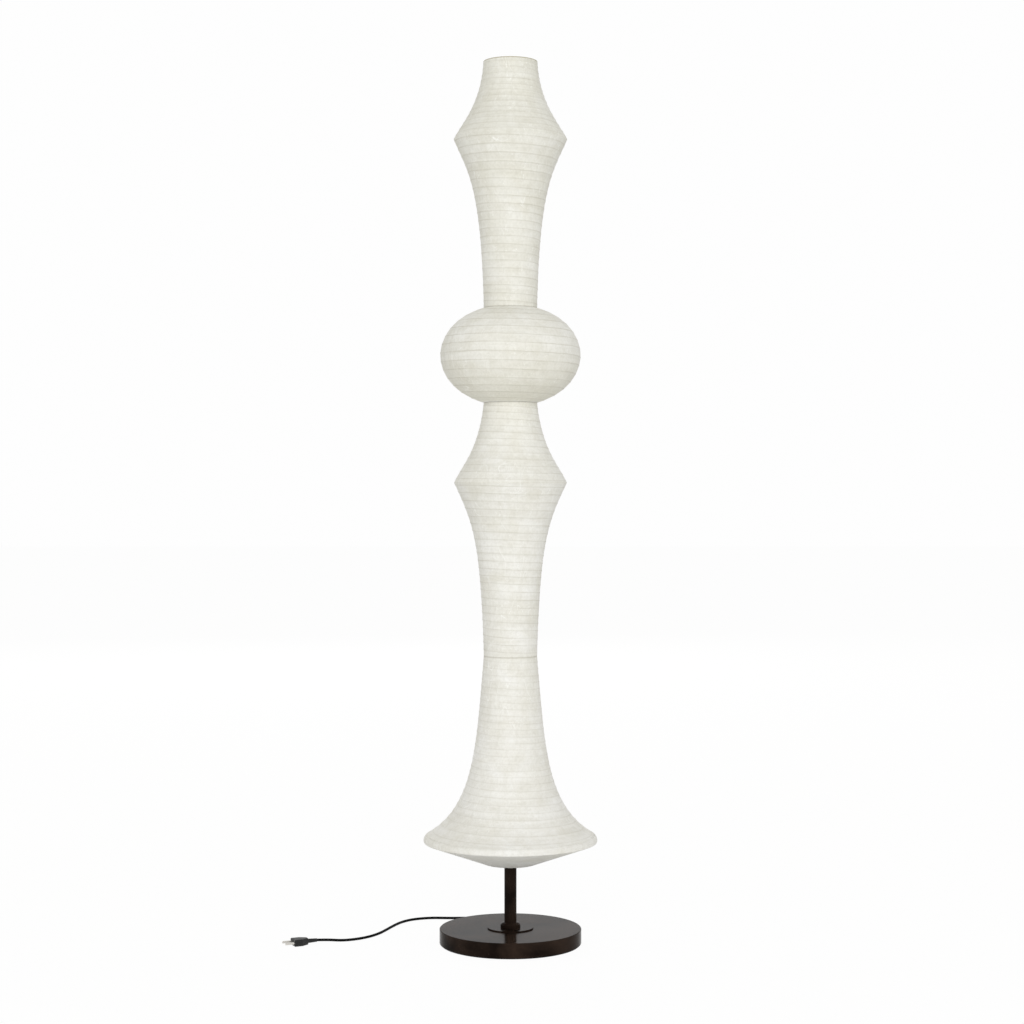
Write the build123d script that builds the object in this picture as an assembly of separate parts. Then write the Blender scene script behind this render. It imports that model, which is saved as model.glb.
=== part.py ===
"""Floor lamp: a bronze base and pole that carry a stack of four silk covered shades.

Millimetres, +Z up. The origin is the centre of the base's underside. The cord leaves behind, towards +Y.
"""
from math import atan2, cos, degrees, hypot, pi, radians, sin, sqrt, tan
import os

from build123d import *

# Base
base_dia = 290.0
base_height = 32.0
pad_height = 2.0
pad_inset = 3.0
cover_wall = 1.5
cover_bevel = 1.2
ballast_dia = 220.0
recess_dia = 50.0
recess_depth = 22.0
channel_width = 9.0
channel_height = 8.0
washer_dia = 40.0
washer_height = 2.5
nut_across_flats = 30.0
nut_height = 8.0
stud_dia = 20.0
stud_tail = 1.0
stud_plug_length = 26.0

# Flange and collar at the foot of the pole
flange_dia = 94.0
flange_height = 2.3
collar_dia = 41.0
collar_height = 10.0
collar_side = 5.2
collar_lip = 0.6
collar_bulge = 1.25

# Column
pole_dia = 25.0
pole_wall = 1.5
stem_dia = 16.0
stem_wall = 1.5
wire_bore = 8.0
spigot_length = 14.0
shoulder_height = 2.5
pole_shoulder = 1.5
stem_shoulder = 3.0
hub_dia = 30.0
hub_height = 4.0
top_hub_dia = 22.0
sleeve_dia = 24.0
sleeve_height = 12.0
finial_pin_dia = 6.0
finial_pin_length = 14.0
finial_dia = 16.0
finial_height = 18.0
finial_straight = 9.0
finial_chamfer = 2.0
finial_chamfer_height = 6.0
finial_top_dia = 7.0
groove_depth = 1.0
groove_width = 1.2
groove_height = 3.0
drop = 33.0

# Shade stack: heights, and the radius of the silk at each edge
bell_clearance = 164.0
bell_height = 425.0
lower_height = 517.0
globe_height = 193.0
upper_height = 501.0
neck_radius = 54.5
mouth_radius = 55.2
foot_radius = 52.0
bell_rim_radius = 177.4
bell_shoulder = 56.0
bell_lip = 10.4
lip_round = 11.0
lip_edge = 2.6
lower_waist_radius = 115.2
lower_waist_drop = 163.3
globe_radius = 143.2
upper_waist_radius = 115.5
upper_waist_drop = 158.3
seam_gap = 0.4

# How each outline leaves its wide edge and meets its neck: lean is run per rise, reach is a height
upper_top_lines = dict(lean=0.42, reach=24.0, neck_lean=0.05, neck_reach=89.0)
upper_low_lines = dict(lean=0.43, reach=66.0, neck_lean=0.023, neck_reach=250.0)
globe_lines = dict(lean=0.0, reach=30.0, neck_lean=3.5, neck_reach=19.6)
lower_top_lines = dict(lean=0.40, reach=34.0, neck_lean=0.109, neck_reach=100.0)
lower_low_lines = dict(lean=0.47, reach=85.0, neck_lean=0.03, neck_reach=234.0)
bell_lines = dict(lean=1.79, reach=58.2, neck_lean=0.087, neck_reach=191.6)

# Frame behind the silk
silk_thickness = 1.2
wire_dia = 3.0
rib_thickness = 1.0
rib_width = 2.0
stay_thickness = 1.5
stay_width = 4.0
stay_count = 4
arm_count = 3
arm_width = 6.0
arm_thickness = 2.5
arm_root = 1.0
upper_top_pitch = 12.0
upper_low_pitch = 16.8
globe_pitch = 17.5
lower_top_pitch = 14.2
lower_low_pitch = 16.2
bell_pitch = 14.3

# Lampholders and bulbs
holder_dia = 27.0
holder_height = 42.0
holder_round = 1.5
socket_depth = 24.0
cap_dia = 14.0
cap_length = 20.0
bulb_dia = 35.0
bulb_length = 72.0
bulb_seat_dia = 24.0
bulb_tip_dia = 5.6
bulb_widest = 25.9
bulb_offset = 28.0
bell_bulb_offset = 46.0
bulb_centre = 34.0
bell_bulb_height = 300.0
globe_bulb_lift = 14.0
plate_thickness = 3.0
plate_width = 14.4
plate_margin = 1.0
clamp_wall = 4.0
clamp_height = 10.0
nipple_dia = 10.0
nipple_length = 9.0
holder_nut_flats = 14.0
holder_nut_height = 3.0
set_screw_dia = 4.0
main_flex_dia = 6.0
branch_flex_dia = 3.6
branch_bend = 7.0
branch_drop = 16.0
lead_hole_room = 0.6
flex_lift = 0.5
terminal_width = 28.0
terminal_height = 12.0
terminal_round = 1.5

# Cord and what is on it
cord_dia = 5.5
gland_angle = 45.0
gland_height = 9.5
gland_length = 25.0
gland_tip_dia = 7.5
gland_root_dia = 12.0
gland_flange_dia = 15.0
gland_flange = 2.3
gland_neck_dia = 8.8
switch_length = 58.0
switch_width = 24.0
switch_height = 14.0
switch_heading = 190.0
switch_end_round = 8.0
switch_top_round = 2.5
switch_pocket_depth = 8.5
rocker_length = 17.0
rocker_width = 9.0
rocker_rise = 4.4
rocker_dip = 3.4
rocker_edge = 0.8
rocker_foot = 3.6
rocker_foot_length = 7.0
rocker_end_room = 1.5
rocker_side_room = 0.5
rocker_tilt = 7.0
rocker_pivot_height = 11.0
rocker_pin_dia = 2.0
rocker_pin_reach = 2.0
rocker_pin_room = 1.0
coil_radius = 33.0
coil_turns = 3
coil_layers = 2
layer_rise = 4.8
coil_exit_turn = 100.0
coil_ease = 0.2
coil_shoulder = 0.4
tie_width = 8.0
tie_thickness = 0.8
plug_tail = 20.0
plug_length = 32.0
plug_width = 26.0
plug_thickness = 14.0
plug_neck_dia = 9.0
plug_tail_wall = 0.8
plug_flare = 14.4
plug_round = 2.0
plug_heading = 205.5
pin_dia = 4.8
pin_length = 19.0
pin_spacing = 19.0
pin_round = 1.2

# Clearances between pieces
fit_gap = 0.05
lay_gap = 0.15
run_gap = 0.3

# How far a cutting shape runs past what it cuts
over = 1.0

# Levels that follow from the sizes above
bell_top = bell_clearance + bell_height
lower_top = bell_top + lower_height
globe_top = lower_top + globe_height
lamp_top = globe_top + upper_height
lower_waist = lower_top - lower_waist_drop
globe_waist = lower_top + globe_height / 2
upper_waist = lamp_top - upper_waist_drop
flange_top = base_height + flange_height
stem_radius = stem_dia / 2
pole_radius = pole_dia / 2

# Cord route, chosen by hand: gland to switch, switch to coil, then coil to plug
feed_points = [
    (120.6, 120.6, 9.5),
    (135.2, 135.2, 8.6),
    (138.0, 155.6, 4.6),
    (127.9, 173.1, 2.8),
    (109.5, 182.0, 4.2),
    (89.9, 178.5, 4.4),
]
link_points = [
    (32.4, 168.4, 4.4),
    (-12.0, 160.6, 2.8),
]
run_points = [
    (-50.7, 193.1, 7.6),
    (-52.2, 209.6, 6.6),
    (-61.0, 224.8, 4.4),
    (-77.5, 235.2, 2.8),
    (-101.0, 239.3, 2.8),
    (-126.0, 238.6, 2.8),
    (-147.0, 240.2, 2.8),
    (-168.0, 241.5, 2.8),
    (-190.0, 236.0, 2.8),
    (-214.0, 224.0, 2.8),
    (-234.0, 199.0, 2.8),
    (-248.0, 164.0, 2.8),
    (-260.0, 126.0, 2.8),
    (-272.0, 90.0, 2.8),
    (-291.0, 56.0, 2.8),
    (-316.0, 31.0, 2.8),
    (-346.0, 16.0, 2.8),
    (-374.0, 10.5, 5.4),
    (-396.0, 0.5, 7.0),
]
coil_centre = (-17.7, 193.1)


# Plain building blocks

def rod(radius, z_low, z_high, x=0.0, y=0.0):
    """Solid round bar along Z."""
    return Pos(x, y, z_low) * Cylinder(radius, z_high - z_low, align=(Align.CENTER, Align.CENTER, Align.MIN))


def tube(outer, inner, z_low, z_high):
    """Round tube along Z."""
    return rod(outer, z_low, z_high) - rod(inner, z_low - over, z_high + over)


def hexagon(across_flats, z_low, z_high, x=0.0, y=0.0):
    """Hexagonal bar along Z."""
    flat = RegularPolygon(across_flats / 2, 6, major_radius=False)
    return Pos(x, y, z_low) * extrude(flat, z_high - z_low)


def turned(points):
    """Solid turned about Z from a closed outline of (radius, height) points."""
    corners = [(r, 0, z) for r, z in points]
    return revolve(make_face(Polyline(*corners, close=True)), Axis.Z)


def ring(radius, z):
    """Round wire hoop."""
    return Pos(0, 0, z) * Torus(radius, wire_dia / 2)


def around(shape, count, start=0.0):
    """Copies of a shape spaced evenly about Z."""
    return [Rot(0, 0, start + 360.0 * i / count) * shape for i in range(count)]


def group(solids):
    """Separate solids kept in one sub-part."""
    return Compound(children=[solid.solid() for solid in solids])


def save(shape, name):
    """Write one sub-part."""
    export_step(shape, f"parts/{name}.step")


# Outlines of the silk: each half runs from its widest edge to a neck

def half(wide, neck, lean, reach, neck_lean, neck_reach):
    """Four control points, as (radius, height), of one half of a shade's outline."""
    way = 1 if neck[1] > wide[1] else -1
    return [
        wide,
        (wide[0] - lean * reach, wide[1] + way * reach),
        (neck[0] + neck_lean * neck_reach, neck[1] - way * neck_reach),
        neck,
    ]


def straight_half(wide, neck):
    """A half whose outline is one straight slope."""
    rise = abs(neck[1] - wide[1])
    slope = (wide[0] - neck[0]) / rise
    return half(wide, neck, slope, rise / 3, slope, rise / 3)


def inset(curve, depth):
    """The outline moved inwards by a depth that is square to the silk at both ends."""
    wide, wide_handle, neck_handle, neck = curve
    wide_shift = depth * hypot(1, (wide[0] - wide_handle[0]) / (wide[1] - wide_handle[1]))
    neck_shift = depth * hypot(1, (neck[0] - neck_handle[0]) / (neck[1] - neck_handle[1]))
    return [
        (wide[0] - wide_shift, wide[1]),
        (wide_handle[0] - wide_shift, wide_handle[1]),
        (neck_handle[0] - neck_shift, neck_handle[1]),
        (neck[0] - neck_shift, neck[1]),
    ]


def between(start, end, t):
    """Point on the line through two (radius, height) points, at a share t of the way."""
    return tuple(a + t * (b - a) for a, b in zip(start, end))


def run_on(curve, radius):
    """The same curve, carried on past its wide end to a larger radius."""
    low, high = -1.0, 0.0
    for _ in range(50):
        middle = (low + high) / 2
        if point_at(curve, middle)[0] > radius:
            low = middle
        else:
            high = middle
    _, second, third, last = curve
    near = between(second, third, low)
    far = between(third, last, low)
    return [point_at(curve, low), between(near, far, low), far, last]


def point_at(curve, t):
    """Point of the outline at parameter t, from 0 at the wide edge to 1 at the neck."""
    weights = ((1 - t) ** 3, 3 * t * (1 - t) ** 2, 3 * t * t * (1 - t), t ** 3)
    return tuple(sum(w * p[axis] for w, p in zip(weights, curve)) for axis in (0, 1))


def radius_at(curve, z):
    """Radius of the outline at height z."""
    low, high = 0.0, 1.0
    rising = curve[3][1] > curve[0][1]
    for _ in range(50):
        middle = (low + high) / 2
        if (point_at(curve, middle)[1] < z) == rising:
            low = middle
        else:
            high = middle
    return point_at(curve, low)[0]


def edge(curve):
    """The outline as a drawn edge in the XZ plane."""
    return Bezier(*[(r, 0, z) for r, z in curve])


def drawn_line(start, end):
    """Straight line between two (radius, height) points in the XZ plane."""
    return Line((start[0], 0, start[1]), (end[0], 0, end[1]))


def filled(top, bottom):
    """Solid of revolution inside the outline made of an upper and a lower half."""
    high, low = top[3], bottom[3]
    drawn = [
        edge(top),
        edge(bottom),
        drawn_line((0, high[1]), high),
        drawn_line((0, low[1]), low),
        drawn_line((0, low[1]), (0, high[1])),
    ]
    if top[0] != bottom[0]:
        drawn.append(drawn_line(top[0], bottom[0]))
    return revolve(make_face(drawn), Axis.Z)


def silk_cover(top, bottom):
    """Thin closed skin stretched over the two halves of a shade."""
    return filled(top, bottom) - filled(inset(top, silk_thickness), inset(bottom, silk_thickness))


# Frame of one half: ribs and stays that lie against the silk

rib_depth = silk_thickness + lay_gap
ring_depth = silk_thickness + lay_gap + wire_dia / 2
stay_depth = rib_depth + rib_thickness + lay_gap


def hoop(curve, z):
    """One flat rib, rolled to lie against the silk at height z."""
    outer = inset(curve, rib_depth)
    inner = inset(curve, rib_depth + rib_thickness)
    low = z - rib_width / 2
    high = z + rib_width / 2
    return turned([
        (radius_at(inner, low), low),
        (radius_at(outer, low), low),
        (radius_at(outer, high), high),
        (radius_at(inner, high), high),
    ])


def ribs(curve, pitch):
    """Evenly spaced hoops between the wide ring and the neck ring."""
    wide = curve[0][1]
    rise = curve[3][1] - wide
    count = round(abs(rise) / pitch)
    return [hoop(curve, wide + rise * i / count) for i in range(1, count)]


def neck_ring(curve):
    """Wire ring just inside the neck end of a half."""
    way = 1 if curve[3][1] > curve[0][1] else -1
    z = curve[3][1] - way * wire_dia / 2
    return radius_at(inset(curve, ring_depth), z), z


def stays(curve, wide_end, neck_end, start):
    """Curved flat bars from the wide ring to the neck ring."""
    outer = inset(curve, stay_depth)
    inner = inset(curve, stay_depth + stay_thickness)
    drawn = [
        edge(outer),
        edge(inner),
        drawn_line(outer[0], inner[0]),
        drawn_line(outer[3], inner[3]),
    ]
    bar = extrude(make_face(drawn), stay_width / 2, dir=(0, 1, 0), both=True)
    low = min(wide_end, neck_end)
    high = max(wide_end, neck_end)
    span = 4 * bell_rim_radius
    trimmed = bar & (Pos(0, 0, (low + high) / 2) * Box(span, span, high - low))
    return around(trimmed, stay_count, start)


def frame_pieces(top, bottom, wide_ring):
    """Three rings and the stays between them."""
    clear = wire_dia / 2 + lay_gap
    top_ring = neck_ring(top)
    bottom_ring = neck_ring(bottom)
    start = 180.0 / stay_count
    pieces = [ring(*top_ring), ring(*wide_ring), ring(*bottom_ring)]
    pieces += stays(top, wide_ring[1] + clear, top_ring[1] - clear, start)
    pieces += stays(bottom, wide_ring[1] - clear, bottom_ring[1] + clear, start)
    return pieces


def arm_end(ring_radius):
    """Distance from the axis to the square end of an arm that meets a ring."""
    return sqrt((ring_radius - wire_dia / 2) ** 2 - (arm_width / 2) ** 2) - fit_gap


def flat_arms(hub_radius, ring_radius, z):
    """Level arms from inside a hub's rim out to a ring."""
    start = hub_radius - arm_root
    length = arm_end(ring_radius) - start
    arm = Pos(start + length / 2, 0, z) * Box(length, arm_width, arm_thickness)
    return around(arm, arm_count)


# The four shades, from the top down

upper_wide = (upper_waist_radius, upper_waist)
upper_top = half(upper_wide, (mouth_radius, lamp_top), **upper_top_lines)
upper_low = half(upper_wide, (neck_radius, globe_top + seam_gap / 2), **upper_low_lines)
globe_wide = (globe_radius, globe_waist)
globe_high = half(globe_wide, (neck_radius, globe_top - seam_gap / 2), **globe_lines)
globe_low = half(globe_wide, (neck_radius, lower_top + seam_gap / 2), **globe_lines)
lower_wide = (lower_waist_radius, lower_waist)
lower_high = half(lower_wide, (neck_radius, lower_top - seam_gap / 2), **lower_top_lines)
lower_low = half(lower_wide, (neck_radius, bell_top + seam_gap / 2), **lower_low_lines)
bell_wide = (bell_rim_radius, bell_clearance + bell_shoulder)
bell_low_edge = (bell_rim_radius, bell_clearance + bell_shoulder - bell_lip)
bell_high = half(bell_wide, (neck_radius, bell_top - seam_gap / 2), **bell_lines)
bell_under = straight_half(bell_low_edge, (foot_radius, bell_clearance))


def waist_ring(top, bottom, z):
    """Place of the wire ring behind the widest edge of a shade."""
    return min(inset(top, ring_depth)[0][0], inset(bottom, ring_depth)[0][0]), z


upper_ring = waist_ring(upper_top, upper_low, upper_waist)
globe_ring = waist_ring(globe_high, globe_low, globe_waist)
lower_ring = waist_ring(lower_high, lower_low, lower_waist)
bell_ring = (bell_rim_radius - ring_depth, bell_clearance + bell_shoulder - bell_lip / 2)


def rim_edges(solid, radius):
    """The round edges of the bell's rim, from the lowest up."""
    circles = solid.edges().filter_by(GeomType.CIRCLE)
    return circles.filter_by(lambda circle: abs(circle.radius - radius) < 0.01).sort_by(Axis.Z)


def rounded_lip(solid, radius, depth):
    """The bell's rim, at a depth under its outside: a soft shoulder above and a crisp edge below."""
    rounded = fillet(rim_edges(solid, radius)[-1], lip_round - depth)
    return fillet(rim_edges(rounded, radius)[0], lip_edge - depth)


def bell_cover():
    """Bell: a flared skin with a closed lip and a sloping underside."""
    outside = rounded_lip(filled(bell_high, bell_under), bell_rim_radius, 0.0)
    inner_radius = bell_rim_radius - silk_thickness
    inner_high = run_on(inset(bell_high, silk_thickness), inner_radius)
    inner_under = run_on(inset(bell_under, silk_thickness), inner_radius)
    return outside - rounded_lip(filled(inner_high, inner_under), inner_radius, silk_thickness)


# Hubs and spiders

bell_spider_z = neck_ring(bell_high)[1]
lower_spider_z = neck_ring(lower_high)[1]
globe_spider_z = neck_ring(globe_high)[1]
upper_spider_z = neck_ring(upper_top)[1]
foot_ring_z = neck_ring(bell_under)[1]
nipple_radius = stem_radius - stem_wall - 2 * fit_gap
top_hub_low = lamp_top - drop - hub_height
stem_top = top_hub_low - shoulder_height


def clamped_spider(curve):
    """Spider whose thin hub is clamped between two column sections."""
    ring_radius, z = neck_ring(curve)
    hub = rod(hub_dia / 2, z - hub_height / 2, z + hub_height / 2)
    for arm in flat_arms(hub_dia / 2, ring_radius, z):
        hub = hub + arm
    return hub - rod(nipple_radius + 2 * fit_gap, z - hub_height, z + hub_height)


def sleeve_spider(curve, shaft_radius, sleeve_radius, low, high, screw_z):
    """Spider whose sleeve slides on a shaft and is held by a set screw."""
    ring_radius, z = neck_ring(curve)
    hub = rod(sleeve_radius, low, high)
    for arm in flat_arms(sleeve_radius, ring_radius, z):
        hub = hub + arm
    hub = hub - rod(shaft_radius + fit_gap, low - over, high + over)
    return hub - screw_hole(screw_z, sleeve_radius)


def screw_hole(z, reach):
    """Threaded hole for a set screw, on the -X side of a hub."""
    hole = Cylinder(set_screw_dia / 2 + fit_gap, reach, align=(Align.CENTER, Align.CENTER, Align.MIN))
    return Pos(0, 0, z) * Rot(0, -90, 0) * hole


def set_screw(z, shaft_radius, hub_radius):
    """Headless screw that grips the shaft through a hub's wall."""
    length = hub_radius - shaft_radius - fit_gap
    body = Cylinder(set_screw_dia / 2, length, align=(Align.CENTER, Align.CENTER, Align.MIN))
    return Pos(-shaft_radius - fit_gap, 0, z) * Rot(0, -90, 0) * body


def drop_spider():
    """Top spider: sloping arms from the mouth's ring down to a recessed hub."""
    ring_radius, z = neck_ring(upper_top)
    outer = arm_end(ring_radius)
    inner = top_hub_dia / 2 - arm_root
    hub_z = top_hub_low + hub_height / 2
    half_thick = arm_thickness / 2
    side = Polyline(
        (inner, 0, hub_z - half_thick),
        (outer, 0, z - half_thick),
        (outer, 0, z + half_thick),
        (inner, 0, hub_z + half_thick),
        close=True,
    )
    arm = extrude(make_face(side), arm_width / 2, dir=(0, 1, 0), both=True)
    hub = rod(top_hub_dia / 2, top_hub_low, top_hub_low + hub_height)
    for copy in around(arm, arm_count):
        hub = hub + copy
    return hub - rod(finial_pin_dia / 2 + run_gap, top_hub_low - drop, top_hub_low + drop)


# Base pieces

ballast_radius = ballast_dia / 2
cover_inside = base_height - cover_wall
recess_top = pad_height + recess_depth
washer_low = recess_top - washer_height
nut_low = washer_low - nut_height
stud_low = nut_low - stud_tail
base_radius = base_dia / 2
gland_way = (sin(radians(gland_angle)), cos(radians(gland_angle)))


def outwards(shape, distance, z):
    """Place a shape whose +X points along the cord's way out, at a distance from the axis."""
    heading = degrees(atan2(gland_way[1], gland_way[0]))
    return Rot(0, 0, heading) * (Pos(distance, 0, z) * shape)


def level_rod(radius, length):
    """Round bar along +X from the origin."""
    return Rot(0, 90, 0) * Cylinder(radius, length, align=(Align.CENTER, Align.CENTER, Align.MIN))


def base_cover():
    """Spun steel cover, open below, with holes for the stud and the cord."""
    inside = base_radius - cover_wall
    shell = turned([
        (0, cover_inside),
        (inside, cover_inside),
        (inside, pad_height),
        (base_radius - cover_bevel / 2, pad_height),
        (base_radius, pad_height + cover_bevel),
        (base_radius, base_height - cover_bevel),
        (base_radius - cover_bevel, base_height),
        (0, base_height),
    ])
    shell = shell - rod(stud_dia / 2 + 2 * fit_gap, 0, base_height + over)
    gland_hole = level_rod(gland_neck_dia / 2 + 2 * fit_gap, 4 * cover_wall)
    return shell - outwards(gland_hole, inside - cover_wall, gland_height)


def ballast_disc():
    """Cast weight with a recess for the nut and a channel for the flex."""
    disc = rod(ballast_radius, pad_height, cover_inside)
    disc = disc - rod(recess_dia / 2, 0, recess_top)
    disc = disc - rod(stud_dia / 2 + 2 * fit_gap, 0, base_height)
    channel = Pos(ballast_radius / 2, 0, 0) * Box(ballast_radius + 4 * over, channel_width, channel_height)
    return disc - outwards(channel, 0, pad_height + channel_height / 2)


def foot_stud():
    """Hollow threaded stud, plugged into the foot of the pole."""
    body = rod(pole_radius - pole_wall - fit_gap, flange_top, flange_top + stud_plug_length)
    body = body + rod(stud_dia / 2, stud_low, flange_top)
    return body - rod(wire_bore / 2, stud_low - over, flange_top + stud_plug_length + over)


def pole_collar():
    """Turned collar with a domed shoulder that dresses the foot of the pole."""
    bore = pole_radius + fit_gap
    outer = collar_dia / 2
    high = flange_top + collar_height
    side = flange_top + collar_side
    lip = bore + collar_lip
    drawn = [
        Line((bore, 0, flange_top), (outer, 0, flange_top)),
        Line((outer, 0, flange_top), (outer, 0, side)),
        ThreePointArc((outer, 0, side), dome_middle(outer, side, lip, high), (lip, 0, high)),
        Line((lip, 0, high), (bore, 0, high)),
        Line((bore, 0, high), (bore, 0, flange_top)),
    ]
    return revolve(make_face(drawn), Axis.Z)


def dome_middle(outer, side, lip, high):
    """Middle of the collar's rounded shoulder, which stands proud of its chord by the bulge."""
    across = outer - lip
    rise = high - side
    chord = hypot(across, rise)
    lift = collar_bulge / chord
    return ((outer + lip) / 2 + lift * rise, 0, (side + high) / 2 + lift * across)


def cord_gland():
    """Rubber strain relief, clipped into the wall of the base and tapered towards the cord."""
    tail = Rot(0, 90, 0) * Cone(
        gland_root_dia / 2, gland_tip_dia / 2, gland_length - gland_flange,
        align=(Align.CENTER, Align.CENTER, Align.MIN),
    )
    flange = level_rod(gland_flange_dia / 2, gland_flange)
    neck = level_rod(gland_neck_dia / 2, cover_wall + 2 * lay_gap + gland_flange)
    inner = level_rod(gland_flange_dia / 2, gland_flange)
    outside = base_radius + 2 * lay_gap
    inside = base_radius - cover_wall - 2 * lay_gap - gland_flange
    body = outwards(flange, outside, gland_height) + outwards(tail, outside + gland_flange, gland_height)
    body = body + outwards(neck, inside + gland_flange, gland_height)
    return body + outwards(inner, inside, gland_height)


def terminal_block():
    """Connector block between the cord and the lamp's own flex."""
    room = base_radius - cover_wall - ballast_radius
    block = Box(room / 3, terminal_width, terminal_height, align=(Align.CENTER, Align.CENTER, Align.MIN))
    block = fillet(block.edges().filter_by(Axis.Z), terminal_round)
    return outwards(block, ballast_radius + room / 3, pad_height)


# Column pieces

def column_joint(seat, low_radius, shoulder_radius):
    """Turned joint under a spider's hub: a spigot each way, a shoulder and a bore for the flex."""
    shoulder = seat - shoulder_height
    low = shoulder - spigot_length
    high = seat + hub_height + spigot_length
    body = rod(low_radius, low, shoulder) + rod(shoulder_radius, shoulder, seat)
    body = body + rod(nipple_radius, seat, high)
    return body - rod(wire_bore / 2, low - over, high + over)


def pole_reducer():
    """Joint between the wide pole and the thinner stem."""
    inside = pole_radius - pole_wall - fit_gap
    return column_joint(bell_spider_z - hub_height / 2, inside, pole_radius + pole_shoulder)


def stem_coupler():
    """Joint between the two stems."""
    return column_joint(lower_spider_z - hub_height / 2, nipple_radius, stem_radius + stem_shoulder)


def top_insert():
    """Plug in the top of the stem: a shoulder for the spider and a pin for the finial."""
    body = rod(nipple_radius, stem_top - spigot_length, stem_top)
    body = body + rod(stem_radius + stem_shoulder, stem_top, top_hub_low - lay_gap)
    return body + rod(finial_pin_dia / 2, stem_top, top_hub_low + finial_pin_length)


def finial_nut():
    """Turned nut that holds the top spider down."""
    low = top_hub_low + hub_height + lay_gap
    high = low + finial_height
    radius = finial_dia / 2
    body = turned([
        (0, low),
        (radius, low),
        (radius, low + finial_straight),
        (radius - finial_chamfer, low + finial_straight + finial_chamfer_height),
        (finial_top_dia / 2, high),
        (0, high),
    ])
    groove_low = low + groove_height
    groove = tube(radius + over, radius - groove_depth, groove_low, groove_low + groove_width)
    bore = rod(finial_pin_dia / 2 + 2 * fit_gap, low - over, top_hub_low + finial_pin_length + over)
    return body - groove - bore


def lead_hole(shaft_radius, z):
    """Hole in a tube's wall where a branch of the flex comes out, on the +X side."""
    return Pos(0, 0, z) * level_rod(branch_flex_dia / 2 + lead_hole_room, shaft_radius + over)


# One lamp: bracket, holder, nut, bulb and its branch of the flex

upper_plate = upper_waist - bulb_centre - holder_height
globe_plate = globe_waist + globe_bulb_lift - bulb_centre - holder_height
lower_plate = lower_waist - bulb_centre - holder_height
bell_plate = bell_bulb_height - bulb_centre - holder_height
lamps = [
    ("upper", upper_plate, stem_radius, bulb_offset),
    ("globe", globe_plate, stem_radius, bulb_offset),
    ("lower", lower_plate, stem_radius, bulb_offset),
    ("bell", bell_plate, pole_radius, bell_bulb_offset),
]


def bracket(plate, shaft_radius, offset):
    """Clamp on the column with a plate that carries the lampholder."""
    clamp_radius = shaft_radius + clamp_wall
    plate_top = plate + plate_thickness
    clamp_top = plate + clamp_height
    body = rod(clamp_radius, plate, clamp_top)
    body = body + Pos(offset / 2, 0, (plate + plate_top) / 2) * Box(offset, plate_width, plate_thickness)
    body = body + rod(holder_dia / 2 - plate_margin, plate, plate_top, offset)
    body = body - rod(shaft_radius + fit_gap, plate - over, clamp_top + over)
    body = body - rod(nipple_dia / 2 + 2 * fit_gap, plate - over, plate_top + over, offset)
    body = body - rod(holder_dia / 2 + lay_gap, plate_top, clamp_top + over, offset)
    return body - screw_hole(plate + clamp_height / 2, clamp_radius + over)


def holder(plate, offset):
    """Lampholder with a hollow nipple below and a socket above."""
    low = plate + plate_thickness
    high = low + holder_height
    foot = low - nipple_length
    body = rod(holder_dia / 2, low, high, offset)
    body = fillet(body.edges().filter_by(GeomType.CIRCLE).sort_by(Axis.Z)[-1], holder_round)
    body = body + rod(nipple_dia / 2, foot, low, offset)
    body = body - rod(cap_dia / 2 + fit_gap, high - socket_depth, high + over, offset)
    return body - rod(branch_flex_dia / 2 + lay_gap, foot - over, low + branch_bend, offset)


def holder_nut(plate, offset):
    """Flat nut under the bracket's plate."""
    nut = hexagon(holder_nut_flats, plate - holder_nut_height, plate, offset)
    return nut - rod(nipple_dia / 2 + fit_gap, plate - holder_nut_height - over, plate + over, offset)


def bulb(plate, offset):
    """Candle shaped bulb: a metal cap and a glass envelope."""
    seat = plate + plate_thickness + holder_height + run_gap
    high = seat + bulb_length
    cap = rod(cap_dia / 2, seat - cap_length, seat, offset)
    seat_radius = bulb_seat_dia / 2
    tip = bulb_tip_dia / 2
    side = Spline(
        (seat_radius, 0, seat), (bulb_dia / 2, 0, seat + bulb_widest), (tip, 0, high),
        tangents=[(0.35, 0, 1), (-0.25, 0, 1)],
    )
    drawn = [
        Line((0, 0, seat), (seat_radius, 0, seat)),
        side,
        Line((tip, 0, high), (0, 0, high)),
        Line((0, 0, high), (0, 0, seat)),
    ]
    glass = Pos(offset, 0, 0) * revolve(make_face(drawn), Axis.Z)
    return group([cap, glass])


def branch(plate, offset):
    """Short lead from the flex in the column into the lampholder's nipple."""
    low = plate - branch_drop
    start = main_flex_dia / 2 + lay_gap
    high = plate + plate_thickness
    path = FilletPolyline((start, 0, low), (offset, 0, low), (offset, 0, high), radius=branch_bend)
    return sweep(Plane(path @ 0, z_dir=path % 0) * Circle(branch_flex_dia / 2), path)


def riser():
    """Flex from the terminal block through the base and up the column."""
    room = base_radius - cover_wall - ballast_radius
    start = ballast_radius + room / 6 - lay_gap
    level = pad_height + main_flex_dia / 2 + flex_lift
    path = FilletPolyline(
        (start * gland_way[0], start * gland_way[1], level),
        (0, 0, level),
        (0, 0, upper_plate - branch_drop + main_flex_dia),
        radius=stud_low - level - flex_lift,
    )
    return sweep(Plane(path @ 0, z_dir=path % 0) * Circle(main_flex_dia / 2), path)


# Cord pieces

def corner_radii(points):
    """Largest even arc at each corner: 0.45 of the shorter run over the tangent of half the turn."""
    radii = []
    for before, corner, after in zip(points, points[1:], points[2:]):
        one = Vector(*corner) - Vector(*before)
        two = Vector(*after) - Vector(*corner)
        turn = radians(one.get_angle(two))
        radii.append(0.45 * min(one.length, two.length) / tan(turn / 2))
    return radii


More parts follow.
